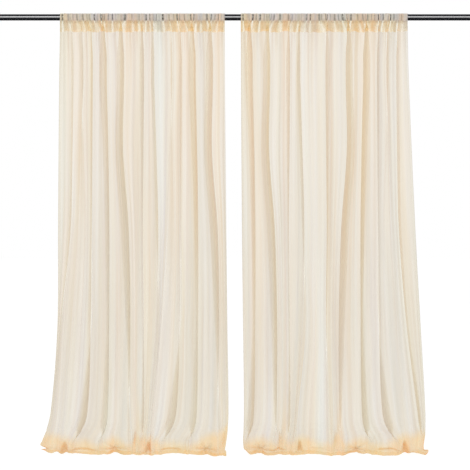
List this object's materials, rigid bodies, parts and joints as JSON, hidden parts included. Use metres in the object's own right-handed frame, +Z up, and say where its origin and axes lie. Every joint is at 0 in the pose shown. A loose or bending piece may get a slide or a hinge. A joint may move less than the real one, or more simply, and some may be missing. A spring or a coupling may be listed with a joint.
{
  "type": "backdrop curtains on a rod",
  "caption": "Sheer rod-pocket curtain panels, gathered side by side on a round rod, hanging in soft folds to the floor.",
  "frame": {"origin": "middle of the rod's axis, midway between its ends", "axes": "+X along the rod to the right as the curtains are seen, +Z up, -Y towards the viewer"},
  "size_m": [2.4, 0.1205, 2.0237],
  "materials": {
    "sheer_cloth": "matt",
    "rod_metal": "gloss"
  },
  "bodies": {
    "root": {"curtain_left": "sheer_cloth", "curtain_right": "sheer_cloth", "rod": "rod_metal"}
  },
  "joints": []
}
